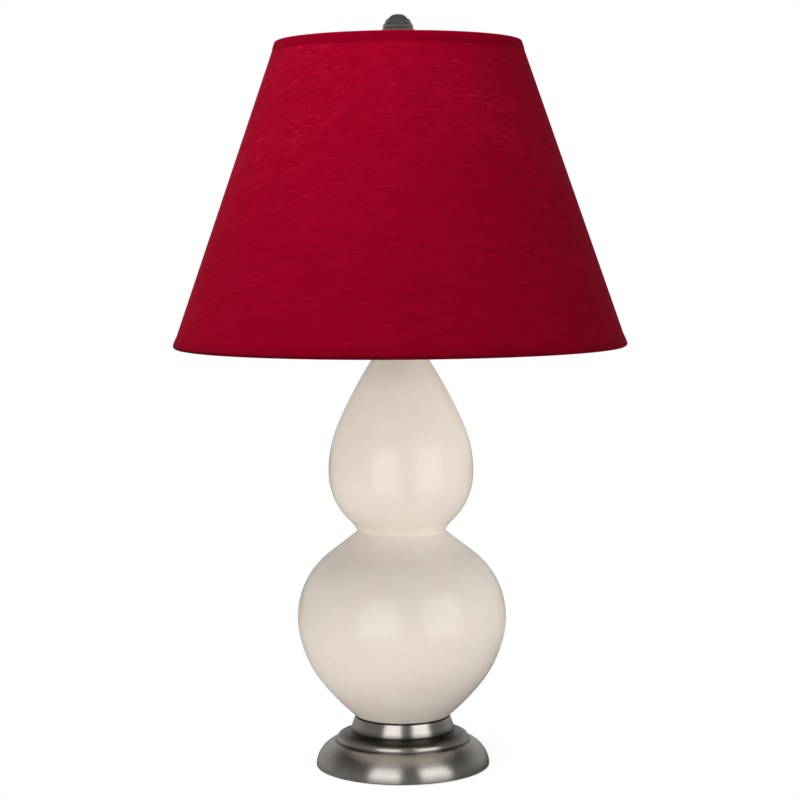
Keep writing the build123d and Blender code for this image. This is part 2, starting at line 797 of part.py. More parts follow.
# The spider's arms rise a little from the hub to the top ring, one of them to the back.
hub_foot = stud_seat
arm_start = Vector(spider_hub_radius - spider_arm_overlap, 0, hub_foot + spider_arm_radius)
arm_end = top_edge.from_local_coords(Vector(ring_inset, ring_drop))
arm_run = arm_end - arm_start
arm_turns = [90 + number * 360 / spider_arm_count for number in range(spider_arm_count)]
arm_planes = [
    Plane(origin=arm_start.rotate(Axis.Z, turn), z_dir=arm_run.rotate(Axis.Z, turn))
    for turn in arm_turns
]

# The top hem is snipped where each arm runs into the fold.
with BuildPart() as top_trim:
    revolve(hem_section(top_edge), axis=Axis.Z)
    for arm_plane in arm_planes:
        with BuildSketch(arm_plane):
            Circle(spider_arm_radius + spider_snip_gap)
        extrude(amount=arm_run.length, mode=Mode.SUBTRACT)
top_trim.part.label = "top_trim"

with BuildPart() as bottom_trim:
    revolve(hem_section(bottom_edge), axis=Axis.Z)
bottom_trim.part.label = "bottom_trim"

with BuildPart() as bottom_ring:
    revolve(ring_wire_section(bottom_edge), axis=Axis.Z)
bottom_ring.part.label = "bottom_ring"

with BuildPart() as spider:
    revolve(ring_wire_section(top_edge), axis=Axis.Z)
    extrude(ring_face(spider_hub_radius, spider_hole_radius, hub_foot), amount=spider_hub_height)
    for arm_plane in arm_planes:
        with BuildSketch(arm_plane):
            Circle(spider_arm_radius)
        extrude(amount=arm_run.length)
spider.part.label = "spider"

# ---------------------------------------------------------------------------------------------
# Finial: a stack of beads that narrows as an elliptical dome
# ---------------------------------------------------------------------------------------------

finial_foot = hub_foot + spider_hub_height


def dome_point(height, swell):
    """A point of the finial's dome at a height, a little outside or inside it."""
    rise = (height - finial_widest_height) / (lamp_height - finial_widest_height)
    return Vector(finial_radius * sqrt(1 - rise**2) + swell, height)


with BuildPart() as finial:
    with BuildSketch(Plane.XZ):
        with BuildLine():
            bead_top = lamp_height - finial_crown_height
            crown = Line((0, lamp_height), (finial_crown_radius, lamp_height))
            crown_side = ThreePointArc(
                crown @ 1,
                dome_point(bead_top + finial_crown_height / 2, 0),
                dome_point(bead_top, -finial_bead_cut),
            )
            corner = crown_side @ 1
            for _ in range(finial_bead_count):
                belly = dome_point(bead_top - finial_bead_height / 2, finial_bead_swell)
                bead_top -= finial_bead_height
                bead = ThreePointArc(corner, belly, dome_point(bead_top, -finial_bead_cut))
                corner = bead @ 1
            Polyline(
                corner,
                (finial_foot_radius, finial_foot + finial_foot_height),
                (finial_foot_radius, finial_foot),
                (0, finial_foot),
                (0, lamp_height),
            )
        make_face()
    revolve(axis=Axis.Z)
    with BuildSketch(Plane.XY.offset(finial_foot)):
        Circle(stud_radius + running_clearance)
    extrude(amount=finial_bore_top_height - finial_foot, mode=Mode.SUBTRACT)
finial.part.label = "finial"

# ---------------------------------------------------------------------------------------------
# Files
# ---------------------------------------------------------------------------------------------

pieces = [
    foot_felt,
    base_shell,
    base_weight,
    cord_bushing,
    seat_gasket,
    gourd_body,
    threaded_pipe,
    lock_washer,
    lock_nut,
    vase_cap,
    check_ring,
    neck_tube,
    harp_saddle,
    harp_bow,
    harp_sleeve_right,
    harp_sleeve_left,
    swivel_stud,
    socket_cap,
    cap_set_screw,
    socket_shell,
    socket_liner,
    socket_core,
    terminal_screws,
    screw_shell,
    centre_contact,
    switch_stem,
    switch_knob,
    bulb_glass,
    bulb_cap,
    bulb_contact,
    shade_fabric,
    shade_liner,
    top_trim,
    bottom_trim,
    bottom_ring,
    spider,
    finial,
]

for piece in pieces:
    export_step(piece.part, f"parts/{piece.part.label}.step")
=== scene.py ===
from math import asin, atan2, cos, degrees, pi, radians, sin, sqrt, tan

import bpy
from mathutils import Matrix, Vector


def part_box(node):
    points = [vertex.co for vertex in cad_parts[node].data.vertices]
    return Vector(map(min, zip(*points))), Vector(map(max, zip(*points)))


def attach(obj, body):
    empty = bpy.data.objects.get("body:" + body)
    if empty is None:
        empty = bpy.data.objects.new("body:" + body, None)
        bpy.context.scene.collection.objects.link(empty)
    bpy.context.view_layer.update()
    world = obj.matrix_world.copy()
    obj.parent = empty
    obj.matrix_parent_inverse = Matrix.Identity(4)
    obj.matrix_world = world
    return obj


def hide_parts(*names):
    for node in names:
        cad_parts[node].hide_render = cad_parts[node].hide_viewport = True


# Double gourd table lamp: the visible surface of every piece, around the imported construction.
# Outlines are (radius, height) points in millimetres; finish_mesh turns them into metres.
# The lamp's axis is Z, the harp stands in the XZ plane and the front faces -Y.

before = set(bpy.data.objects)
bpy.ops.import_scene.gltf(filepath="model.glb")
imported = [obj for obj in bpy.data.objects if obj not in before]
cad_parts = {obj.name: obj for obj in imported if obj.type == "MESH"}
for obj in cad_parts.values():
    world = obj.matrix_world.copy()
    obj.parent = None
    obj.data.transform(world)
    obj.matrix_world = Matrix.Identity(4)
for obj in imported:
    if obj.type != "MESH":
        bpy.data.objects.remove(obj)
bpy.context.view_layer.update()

MM = 0.001


def foot(node):
    """The lowest height of a node, in millimetres."""
    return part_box(node)[0].z / MM


def top(node):
    """The greatest height of a node, in millimetres."""
    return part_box(node)[1].z / MM


def reach(node):
    """How far a node stretches along +X, in millimetres: the radius of a turned piece."""
    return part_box(node)[1].x / MM


# ------------------------------------------------------------
# Outlines
# ------------------------------------------------------------


def heading_of(run):
    """The direction of a run in degrees: 0 is outwards, 90 upwards."""
    return degrees(atan2(run.y, run.x))


def along(heading):
    """A run of length 1 in a direction."""
    return Vector((cos(radians(heading)), sin(radians(heading))))


class Outline:
    """A line of (radius, height) points that grows by straight runs, arcs and curves."""

    def __init__(self, radius, height, spacing=1.0):
        self.points = [Vector((radius, height))]
        self.heading = 0.0
        self.spacing = spacing

    def to(self, radius, height):
        """A straight run to a point."""
        self.heading = heading_of(Vector((radius, height)) - self.points[-1])
        self.points.append(Vector((radius, height)))
        return self

    def bend(self, radius, turn, heading=None):
        """An arc along the heading, or another one, that turns by some degrees, to the left if positive."""
        if heading is not None:
            self.heading = heading
        side = 1 if turn > 0 else -1
        start = self.points[-1]
        angle = radians(self.heading)
        centre = start + Vector((-sin(angle), cos(angle))) * side * radius
        steps = max(3, round(radius * radians(abs(turn)) / self.spacing))
        for step in range(1, steps + 1):
            angle = radians(self.heading + turn * step / steps)
            self.points.append(centre - Vector((-sin(angle), cos(angle))) * side * radius)
        self.heading += turn
        return self

    def arc_to(self, radius, height, heading=None):
        """The arc that leaves along the heading, or another one, and ends at a point."""
        if heading is not None:
            self.heading = heading
        chord = Vector((radius, height)) - self.points[-1]
        turn = 2 * ((heading_of(chord) - self.heading + 180) % 360 - 180)
        return self.bend(chord.length / 2 / abs(sin(radians(turn / 2))), turn)

    def curve_to(self, radius, height, heading, pull, steps=20):
        """A curve that leaves along the heading and reaches a point along another one."""
        start, end = self.points[-1], Vector((radius, height))
        leave, arrive = along(self.heading) * pull, along(heading) * pull
        for step in range(1, steps + 1):
            t = step / steps
            share = 3 * t**2 - 2 * t**3
            between = start * (1 - share) + end * share
            self.points.append(between + leave * (t**3 - 2 * t**2 + t) + arrive * (t**3 - t**2))
        self.heading = heading
        return self


def rounded(corners, steps=4):
    """The points of a polygon, given as (radius, height, rounding) corners."""
    points = []
    for number, (x, z, rounding) in enumerate(corners):
        corner = Vector((x, z))
        if not rounding:
            points.append(corner)
            continue
        before = (Vector(corners[number - 1][:2]) - corner).normalized()
        after = (Vector(corners[(number + 1) % len(corners)][:2]) - corner).normalized()
        half = before.angle(after) / 2
        centre = corner + (before + after).normalized() * rounding / sin(half)
        start = corner + before * rounding / tan(half)
        end = corner + after * rounding / tan(half)
        for step in range(steps + 1):
            chord = start.lerp(end, step / steps) - centre
            points.append(centre + chord.normalized() * rounding)
    return points


def circle(radius, height, wire_radius, steps=16):
    """The section of a ring of round wire."""
    turns = [2 * pi * step / steps for step in range(steps)]
    return [Vector((radius + wire_radius * cos(turn), height + wire_radius * sin(turn))) for turn in turns]


def bead_up(radius, low, swell, tall, steps=8):
    """Points up a bead that stands out from a straight wall."""
    shares = [step / steps for step in range(1, steps + 1)]
    return [Vector((radius + swell * sin(pi * share), low + tall * share)) for share in shares]


def fine_wall(radius, low, high, step):
    """Points up a straight wall, close enough for a thread or knurl."""
    count = round((high - low) / step)
    return [Vector((radius, low + (high - low) * number / count)) for number in range(count + 1)]


def subdivided(points, spacing):
    """The same line with more points on its long runs."""
    fine = []
    for before, after in zip(points, points[1:]):
        pieces = max(1, round((after - before).length / spacing))
        fine += [before.lerp(after, number / pieces) for number in range(pieces)]
    return fine + [points[-1]]


def area_of(points):
    """Twice the signed area of an outline; negative if it runs clockwise, with radius to the right."""
    return sum(a.x * b.y - b.x * a.y for a, b in zip(points, points[1:] + points[:1]))


# ------------------------------------------------------------
# Meshes
# ------------------------------------------------------------


def finish_mesh(name, vertices, faces, uvs, material, crease=32.0):
    """An object from vertices in millimetres, with a UV map in metres and smooth shading."""
    mesh = bpy.data.meshes.new(name)
    mesh.from_pydata([Vector(vertex) * MM for vertex in vertices], [], faces)
    uv_map = mesh.uv_layers.new(name="UVMap")
    for loop_number, uv in enumerate(uvs):
        uv_map.data[loop_number].uv = Vector(uv) * MM
    mesh.shade_smooth()
    mesh.set_sharp_from_angle(angle=radians(crease))
    mesh.materials.append(material)
    piece = bpy.data.objects.new(name, mesh)
    bpy.context.scene.collection.objects.link(piece)
    return piece


def place(piece, body, replaces=(), where=None):
    """Puts a piece where it belongs and lets it ride on its body."""
    if where is not None:
        piece.matrix_world = where
    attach(piece, body)
    if replaces:
        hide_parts(*replaces)
    return piece


def lathe(name, outline, material, segments=96, wave=None, flat=None, crease=32.0):
    """Turns a closed outline round the axis, from the back of the lamp past its left side.

    wave(angle, radius, height) may change a point's radius, and flat(angle, radius, height) may
    give its UV. Points on the axis become poles."""
    points = [Vector(point) for point in outline]
    vertices, rings = [], []
    for radius, height in points:
        if radius < 1e-6:
            rings.append([len(vertices)] * segments)
            vertices.append((0, 0, height))
            continue
        rings.append(list(range(len(vertices), len(vertices) + segments)))
        for step in range(segments):
            angle = 2 * pi * step / segments
            real = wave(angle, radius, height) if wave else radius
            vertices.append((-real * sin(angle), real * cos(angle), height))
    travel = [0.0]
    for before, after in zip(points, points[1:] + points[:1]):
        travel.append(travel[-1] + (after - before).length)
    widest = max(radius for radius, _ in points)

    def uv(step, number):
        angle = 2 * pi * step / segments
        if flat:
            return flat(angle, *points[number % len(points)])
        return (angle * widest, travel[number])

    clockwise = area_of(points) < 0
    faces, uvs = [], []
    for number in range(len(points)):
        ring, above = rings[number], rings[(number + 1) % len(points)]
        for step in range(segments):
            after = (step + 1) % segments
            corners = [
                (ring[step], uv(step, number)),
                (above[step], uv(step, number + 1)),
                (above[after], uv(step + 1, number + 1)),
                (ring[after], uv(step + 1, number)),
            ]
            kept = [corner for i, corner in enumerate(corners) if corner[0] != corners[i - 1][0]]
            if len(kept) < 3:
                continue
            if not clockwise:
                kept.reverse()
            faces.append([vertex for vertex, _ in kept])
            uvs += [spot for _, spot in kept]
    return finish_mesh(name, vertices, faces, uvs, material, crease)


def turned(name, corners, material, body, slot, nodes, where=None, **options):
    """A turned piece from rounded corners, in place of its nodes."""
    return place(lathe(name, rounded(corners), material, **options), body, nodes, where)


def wire(name, path, radius, material, sides=14):
    """A round wire along a path of (x, height) points in the XZ plane, with bevelled ends."""
    points = [Vector(point) for point in path]
    last = len(points) - 1
    ahead = [(points[min(i + 1, last)] - points[max(i - 1, 0)]).normalized() for i in range(last + 1)]
    end_length, end_share = 0.6 * radius, 0.5
    rows = [(points[0] - ahead[0] * end_length, ahead[0], end_share)]
    rows += [(point, run, 1.0) for point, run in zip(points, ahead)]
    rows += [(points[-1] + ahead[-1] * end_length, ahead[-1], end_share)]
    vertices, travels, travel = [], [], 0.0
    for number, (point, run, share) in enumerate(rows):
        travel += (point - rows[number - 1][0]).length if number else 0.0
        travels.append(travel)
        across = Vector((-run.y, run.x)) * radius * share
        for step in range(sides):
            turn = 2 * pi * step / sides
            middle = point + across * cos(turn)
            vertices.append((middle.x, radius * share * sin(turn), middle.y))
    faces, uvs = [], []
    for row in range(len(rows) - 1):
        for step in range(sides):
            corners = ((row, step), (row, step + 1), (row + 1, step + 1), (row + 1, step))
            faces.append([r * sides + s % sides for r, s in corners])
            uvs += [(2 * pi * radius * s / sides, travels[r]) for r, s in corners]
    for row, order in ((0, range(sides)[::-1]), (len(rows) - 1, range(sides))):
        faces.append([row * sides + step for step in order])
        uvs += [(0, travels[row])] * sides
    return finish_mesh(name, vertices, faces, uvs, material, 50.0)


def facing(point, direction):
    """A placement at a point in millimetres, with Z along a direction."""
    return Matrix.Translation(point * MM) @ direction.to_track_quat("Z", "X").to_matrix().to_4x4()


def cut_hole(piece, mouth, direction, radius, depth):
    """Bores a round hole into a piece, to a depth on both sides of its mouth, in millimetres."""
    bpy.ops.mesh.primitive_cylinder_add(vertices=48, radius=radius * MM, depth=2 * depth * MM)
    cutter = bpy.context.object
    cutter.matrix_world = facing(mouth, direction)
    bore = piece.modifiers.new("bore", "BOOLEAN")
    bore.object = cutter
    bore.operation = "DIFFERENCE"
    bpy.context.view_layer.update()
    bored = piece.evaluated_get(bpy.context.evaluated_depsgraph_get())
    mesh = bpy.data.meshes.new_from_object(bored)
    piece.modifiers.clear()
    piece.data = mesh
    bpy.data.objects.remove(cutter)


# ------------------------------------------------------------
# Materials
# ------------------------------------------------------------

# near-black for the hollows of the metal: partly antique patina, partly painted shade and painted dark
# reflection
PATINA_AND_SHADE = (0.030, 0.026, 0.022)
GLAZE = (0.768, 0.693, 0.618)
GLAZE_WARM = (0.748, 0.668, 0.588)
GLAZE_SPECK = (0.66, 0.585, 0.50)
RUBY = (0.138, 0.0003, 0.0074)
RUBY_DEEP = (0.114, 0.0002, 0.0056)
RUBY_SLUB = (0.212, 0.0046, 0.0180)
# a painted shadow tone of the cloth, for the darkened hems
RUBY_SHADOW = (0.082, 0.0001, 0.0042)


class Nodes:
    """A node tree, with short calls for the nodes that the finishes and the studio share."""

    def __init__(self, tree):
        self.tree = tree

    def add(self, kind, inputs, output=0, **settings):
        """A node with its inputs linked or set, by name or number. Gives one of its outputs."""
        node = self.tree.nodes.new("ShaderNode" + kind)
        for name, value in settings.items():
            setattr(node, name, value)
        for socket, value in inputs.items():
            if isinstance(value, bpy.types.NodeSocket):
                self.tree.links.new(value, node.inputs[socket])
            else:
                node.inputs[socket].default_value = value
        return node.outputs[output]

    def calc(self, operation, first, second=0.0):
        """A sum, product or other operation on two values."""
        return self.add("Math", {0: first, 1: second}, operation=operation)

    def scaled(self, value, factor, offset):
        """The value times a factor, plus an offset."""
        return self.calc("ADD", self.calc("MULTIPLY", value, factor), offset)

    def ramp(self, value, low, high):
        """The value cut down to its share between two limits, from 0 to 1, with soft ends."""
        limits = {"Value": value, "From Min": low, "From Max": high}
        return self.add("MapRange", limits, interpolation_type="SMOOTHSTEP")

    def between(self, share, low, high):
        """A value between two others."""
        return self.add("MapRange", {"Value": share, "To Min": low, "To Max": high})

    def mix(self, share, first, second):
        """A colour between two others."""
        colours = [(*colour, 1.0) if isinstance(colour, tuple) else colour for colour in (first, second)]
        return self.add("Mix", {0: share, 6: colours[0], 7: colours[1]}, output=2, data_type="RGBA")

    def glow(self, kind, strength, colour=(1, 1, 1)):
        """A surface or a sky that gives light by itself."""
        return self.add(kind, {"Color": (*colour, 1), "Strength": strength})

    def show(self, kind, shader):
        """The last node of the tree, which shows the shader."""
        output = self.tree.nodes.new("ShaderNodeOutput" + kind)
        self.tree.links.new(shader, output.inputs["Surface"])


class Finish(Nodes):
    """A material's node tree round one shader, with noise laid out by the UV map, and bumps."""

    def __init__(self, name, **sockets):
        self.material = bpy.data.materials.new(name)
        self.material.use_nodes = True
        super().__init__(self.material.node_tree)
        self.shader = self.tree.nodes["Principled BSDF"]
        for socket, value in sockets.items():
            self.shader.inputs[socket.replace("_", " ")].default_value = value
        self.uv = self.tree.nodes.new("ShaderNodeTexCoord").outputs["UV"]
        self.normal = None

    def noise(self, across, up, detail=2.0, roughness=0.5, shift=0.0):
        """Noise with so many cells a metre round the piece and along its outline."""
        spots = {"Vector": self.uv, "Scale": (across, up, 1), "Location": (shift, shift, 0)}
        grain = {"Vector": self.add("Mapping", spots), "Scale": 1.0, "Detail": detail, "Roughness": roughness}
        return self.add("TexNoise", grain)

    def bump(self, height, distance, strength=1.0):
        """Raises the surface by a height pattern, over any bump already there."""
        inputs = {"Height": height, "Distance": distance * MM, "Strength": strength}
        if self.normal is not None:
            inputs["Normal"] = self.normal
        self.normal = self.add("Bump", inputs)
        self.link(self.normal, "Normal")

    def link(self, output, socket):
        """Gives the shader an output in place of a fixed value."""
        self.tree.links.new(output, self.shader.inputs[socket])


def spun_metal(name, colour, dark, roughness, anisotropy, line_depth, patina_shade_bands=()):
    """Metal that was spun or turned: fine lines round the axis, with a little tarnish.

    recesses are (low, high, fade, share) bands of height painted dark: partly an antique patina kept in the
    hollows, partly painted shade and painted dark reflection where those hollows fall into shadow."""
    finish = Finish(name, Metallic=1.0, Anisotropic=anisotropy, Anisotropic_Rotation=0.25)
    finish.link(finish.add("Tangent", {}, direction_type="RADIAL", axis="Z"), "Tangent")
    lines = finish.noise(14, 2600, detail=3.0)
    bands = finish.noise(9, 420, detail=2.0, shift=3.0)
    cloud = finish.noise(28, 45, detail=4.0, roughness=0.6, shift=7.0)
    wear = finish.calc("MULTIPLY", finish.ramp(lines, 0.42, 0.72), 0.5)
    tarnish = finish.calc("ADD", wear, finish.calc("MULTIPLY", finish.ramp(cloud, 0.45, 0.75), 0.5))
    tone = finish.mix(tarnish, colour, dark)
    height = finish.add("SeparateXYZ", {0: finish.add("TexCoord", {}, "Object")}, "Z")
    # each band darkens the tone towards the near-black patina colour: partly real patina, partly painted
    # shade and painted dark reflection
    for low, high, fade, share in patina_shade_bands:
        over = finish.ramp(height, (low - fade) * MM, (low + fade) * MM)
        under = finish.ramp(height, (high + fade) * MM, (high - fade) * MM)
        inside = finish.calc("MULTIPLY", over, under)
        tone = finish.mix(finish.calc("MULTIPLY", inside, share), tone, PATINA_AND_SHADE)
    finish.link(tone, "Base Color")
    finish.link(finish.between(bands, roughness - 0.04, roughness + 0.05), "Roughness")
    finish.bump(lines, line_depth, 0.6)
    finish.bump(bands, line_depth * 2, 0.25)
    return finish.material


def plated_metal(name, colour, roughness):
    """Plated steel or brass with faint clouds and hairline scratches."""
    finish = Finish(name, Metallic=1.0)
    cloud = finish.noise(60, 60, detail=4.0)
    scratches = finish.noise(30, 1800, detail=1.0, shift=2.0)
    worn = tuple(0.82 * part for part in colour)
    finish.link(finish.mix(finish.ramp(cloud, 0.35, 0.7), colour, worn), "Base Color")
    finish.link(finish.between(cloud, roughness * 0.7, roughness * 1.3), "Roughness")
    finish.bump(scratches, 0.01, 0.3)
    return finish.material


def moulded(name, colour, roughness, grain_depth, metallic=0.0, grain=900):
    """Moulded plastic, rubber or a casting: one colour with a fine grain."""
    finish = Finish(name, Metallic=metallic)
    grains = finish.noise(grain, grain, detail=3.0)
    cloud = finish.noise(70, 70, detail=3.0, shift=5.0)
    paler = tuple(min(1.0, 1.35 * part + 0.004) for part in colour)
    finish.link(finish.mix(finish.ramp(cloud, 0.35, 0.7), colour, paler), "Base Color")
    finish.link(finish.between(grains, roughness - 0.08, roughness + 0.08), "Roughness")
    finish.bump(grains, grain_depth, 0.6)
    return finish.material


def ivory_glaze():
    """Bone white glaze: glossy over faint throwing rings, with warm clouds and tiny iron specks."""
    finish = Finish("ivory_glaze", Specular_IOR_Level=0.36)
    cloud = finish.noise(16, 22, detail=4.0, roughness=0.55)
    fine = finish.noise(420, 420, detail=3.0, shift=4.0)
    throwing = finish.noise(3, 260, detail=2.0, shift=8.0)
    body = finish.mix(finish.ramp(cloud, 0.3, 0.72), GLAZE, GLAZE_WARM)
    finish.link(finish.mix(finish.ramp(fine, 0.60, 0.80), body, GLAZE_SPECK), "Base Color")
    finish.link(finish.between(cloud, 0.12, 0.16), "Roughness")
    finish.bump(throwing, 0.03, 0.2)
    return finish.material


def ruby_cloth(name, slubs, depth):
    """Plain weave with uneven yarns: long slubs across, finer ones down, over a fine grid.

    slubs is how strongly the thick yarns show, and depth how far the ground is darkened towards a painted
    shadow tone."""
    finish = Finish(
        name, Roughness=0.86, Specular_IOR_Level=0.02, Specular_Tint=(1.0, 0.1, 0.15, 1.0),
        Sheen_Weight=0.012, Sheen_Roughness=0.3, Sheen_Tint=(1.0, 0.30, 0.38, 1.0),
    )
    weft = finish.ramp(finish.noise(80, 760, detail=4.0, roughness=0.7), 0.48, 0.70)
    bands = finish.ramp(finish.noise(5, 105, detail=3.0, shift=12.0), 0.38, 0.64)
    warp = finish.ramp(finish.noise(1000, 170, detail=3.0, roughness=0.6, shift=3.0), 0.47, 0.72)
    patches = finish.ramp(finish.noise(8, 15, detail=2.0, shift=6.0), 0.36, 0.62)
    yarns = finish.calc("MULTIPLY", weft, finish.scaled(bands, 0.7, 0.3))
    yarns = finish.calc("ADD", yarns, finish.calc("MULTIPLY", warp, 0.32))
    yarns = finish.calc("MULTIPLY", yarns, finish.scaled(patches, 0.7, 0.3))
    # in front the slubs fade towards the rim, which is the far end of the flat cut: painted light, the slubs
    # drawn stronger towards the top where the light grazes the cloth
    up = finish.add("SeparateXYZ", {0: finish.uv}, "Y")
    fade = {"Value": up, "From Min": -0.45, "From Max": -0.34, "To Min": 0.45, "To Max": 1.0}
    yarns = finish.calc("MULTIPLY", yarns, finish.add("MapRange", fade))
    slub_share = finish.calc("MULTIPLY", yarns, slubs)
    ground = finish.mix(finish.ramp(finish.noise(40, 300, detail=4.0, shift=9.0), 0.3, 0.7), RUBY_DEEP, RUBY)
    # painted shade: the ground is darkened by depth towards the shadow tone
    ground = finish.mix(depth, ground, RUBY_SHADOW)
    finish.link(finish.mix(slub_share, ground, RUBY_SLUB), "Base Color")
    threads_across = finish.noise(160, 1500, detail=1.0, shift=2.0)
    threads_down = finish.noise(1500, 160, detail=1.0, shift=5.0)
    finish.bump(finish.calc("ADD", threads_across, threads_down), 0.12, 0.55)
    finish.bump(yarns, 0.10, 0.5)
    return finish.material


def felt_pad():
    """Dense felt: matted fibres."""
    finish = Finish("felt_pad", Roughness=0.95, Specular_IOR_Level=0.1)
    fibres = finish.noise(700, 700, detail=5.0, roughness=0.7)
    finish.link(finish.mix(fibres, (0.03, 0.03, 0.033), (0.10, 0.10, 0.105)), "Base Color")
    finish.bump(fibres, 0.5, 0.8)
    return finish.material


def styrene_lining():
    """Off-white lining sheet: satin, a little see-through, with a faint laid texture."""
    finish = Finish("styrene_lining", Roughness=0.45, Subsurface_Weight=0.15, Subsurface_Scale=0.004)
    cloud = finish.noise(20, 20, detail=3.0)
    finish.link(finish.mix(cloud, (0.80, 0.76, 0.70), (0.86, 0.83, 0.78)), "Base Color")
    finish.bump(finish.noise(500, 500, detail=2.0, shift=3.0), 0.04, 0.4)
    return finish.material


def frosted_glass():
    """Bulb glass with a white powder coat inside: milky, with a clean gloss outside."""
    finish = Finish(
        "frosted_glass", Roughness=0.22, Subsurface_Weight=0.4, Subsurface_Scale=0.01,
        Coat_Weight=0.6, Coat_Roughness=0.03,
    )
    powder = finish.noise(120, 120, detail=4.0)
    finish.link(finish.mix(powder, (0.83, 0.83, 0.81), (0.90, 0.90, 0.89)), "Base Color")
    finish.bump(finish.noise(90, 90, detail=2.0, shift=2.0), 0.02, 0.2)
    return finish.material


# dark bands painted on the spun base: partly the patina of its hollows, partly painted shade and painted dark
# reflection
base_patina_shade_bands = (
    (24.1, 29.2, 0.9, 0.90),  # the cove: painted shade and painted dark reflection over the patina
    (26.0, 31.2, 1.9, 0.60),  # a softer band up the foot of the collar: painted shade
    (19.6, 21.4, 0.5, 0.72),  # the groove under the bead: painted shade
    (38.6, 39.6, 0.3, 0.95),  # the collar's edge under the gasket: a painted shadow line
)
finial_top = top("finial")
finial_dome = 3.0  # from the finial's top down to its first cut
finial_bead = 3.6  # from one cut to the next
finial_cuts = [finial_top - finial_dome - finial_bead * number for number in range(6)]

pewter = spun_metal("pewter", (0.56, 0.545, 0.515), (0.40, 0.385, 0.36), 0.27, 0.55, 0.012)
pewter_base = spun_metal(
    "pewter_base", (0.50, 0.478, 0.446), (0.36, 0.340, 0.312), 0.31, 0.84, 0.010, base_patina_shade_bands
)
# each cut of the finial is painted dark: painted shade in the cuts, over the patina
pewter_cast = spun_metal(
    "pewter_cast", (0.50, 0.48, 0.445), (0.30, 0.285, 0.26), 0.34, 0.3, 0.012,
    patina_shade_bands=[(cut, cut, 0.55, 1.6) for cut in finial_cuts],
)
nickel = plated_metal("nickel", (0.62, 0.61, 0.58), 0.24)
zinc = plated_metal("zinc", (0.55, 0.55, 0.55), 0.38)
brass = plated_metal("brass", (0.72, 0.52, 0.24), 0.28)
thread_metal = plated_metal("thread_metal", (0.70, 0.70, 0.69), 0.22)
shade_wire_finish = plated_metal("shade_wire_finish", (0.60, 0.52, 0.36), 0.32)
cast_iron = moulded("cast_iron", (0.05, 0.05, 0.05), 0.75, 0.25, metallic=0.6, grain=400)
black_plastic = moulded("black_plastic", (0.014, 0.014, 0.014), 0.30, 0.02)
phenolic = moulded("phenolic", (0.030, 0.024, 0.018), 0.45, 0.02)
gasket_rubber = moulded("gasket_rubber", (0.018, 0.016, 0.014), 0.65, 0.03)
liner_card = moulded("liner_card", (0.16, 0.13, 0.10), 0.85, 0.06, grain=500)
vitrite = moulded("vitrite", (0.04, 0.04, 0.045), 0.2, 0.01)
felt = felt_pad()
glaze = ivory_glaze()
cover_cloth = ruby_cloth("cover_cloth", slubs=1.0, depth=0.0)
# the hems, and the back seam that shares their cloth, get painted shade: their ground is darkened towards the
# shadow tone
hem_cloth = ruby_cloth("hem_cloth", slubs=0.08, depth=0.35)
lining = styrene_lining()
bulb_white = frosted_glass()

# ------------------------------------------------------------
# Base
# ------------------------------------------------------------

rod_hole = 5.3  # the radius of the hole for the rod, in every piece of the stack
base_wall = 1.5
collar_edge = 36.9
groove = Vector((52.4, 19.3))  # where the bead meets the skirt
skirt_bow = 21.0  # the radius of the skirt's dome
outlet_mouth = Vector((0, 64.63, 9.66))
outlet_axis = Vector((0, cos(radians(30)), sin(radians(30))))


def make_base():
    """The spun shell with its collar, cove, bead and domed skirt, on a felt pad."""
    felt_edge, felt_top = reach("foot_felt"), top("foot_felt")
    pad = [(0, 0, 0), (felt_edge, 0, 0.4), (felt_edge, felt_top, 0.3), (0, felt_top, 0)]
    turned("felt_foot", pad, felt, "lamp_body", "felt", ["foot_felt"])

    collar_top = top("base_shell")
    rim = Vector((reach("base_shell"), foot("base_shell")))
    half_turn = degrees(asin((rim - groove).length / 2 / skirt_bow))
    shell = Outline(rod_hole, collar_top, spacing=0.5)
    # the collar's rounded edge and its wall, steeper above than below
    shell.to(collar_edge - 0.8, collar_top).bend(0.8, -72).to(38.6, 34.0).to(40.2, 29.4)
    # the cove, the ledge beside it and the bead
    shell.bend(1.2, -34).bend(3.0, 70).to(49.3, 24.2).bend(1.7, -84).bend(0.8, 66)
    # the groove, the domed skirt and its rolled rim
    shell.to(groove.x + 0.6, groove.y + 0.1)
    shell.arc_to(rim.x, rim.y + 0.6, heading_of(rim - groove) + half_turn)
    shell.bend(0.35, -110)
    # the inside, seen only through the outlet
    shell.to(rim.x - base_wall, rim.y + 0.3).arc_to(groove.x, groove.y - 2.6, 95)
    shell.to(48.0, 20.6).to(38.4, 29.0).to(collar_edge - base_wall, collar_top - base_wall)
    shell.to(rod_hole, collar_top - base_wall)
    shell_piece = lathe("spun_base", shell.points, pewter_base, segments=192)
    cut_hole(shell_piece, outlet_mouth, outlet_axis, 4.9, 7.0)
    place(shell_piece, "lamp_body", ["base_shell"])

    bore, stem, flange = 3.6, 4.75, 6.2
    bushing = [
        (bore, -5, 0.3), (stem - 0.05, -5, 0.4), (stem, -0.15, 0),
        (flange, -0.15, 0.2), (flange, 1.15, 0.7), (bore, 1.15, 0.8),
    ]
    where = facing(outlet_mouth, outlet_axis)
    nodes = ["cord_bushing"]
    turned("outlet_bushing", bushing, black_plastic, "lamp_body", "black_plastic", nodes, where, segments=48)


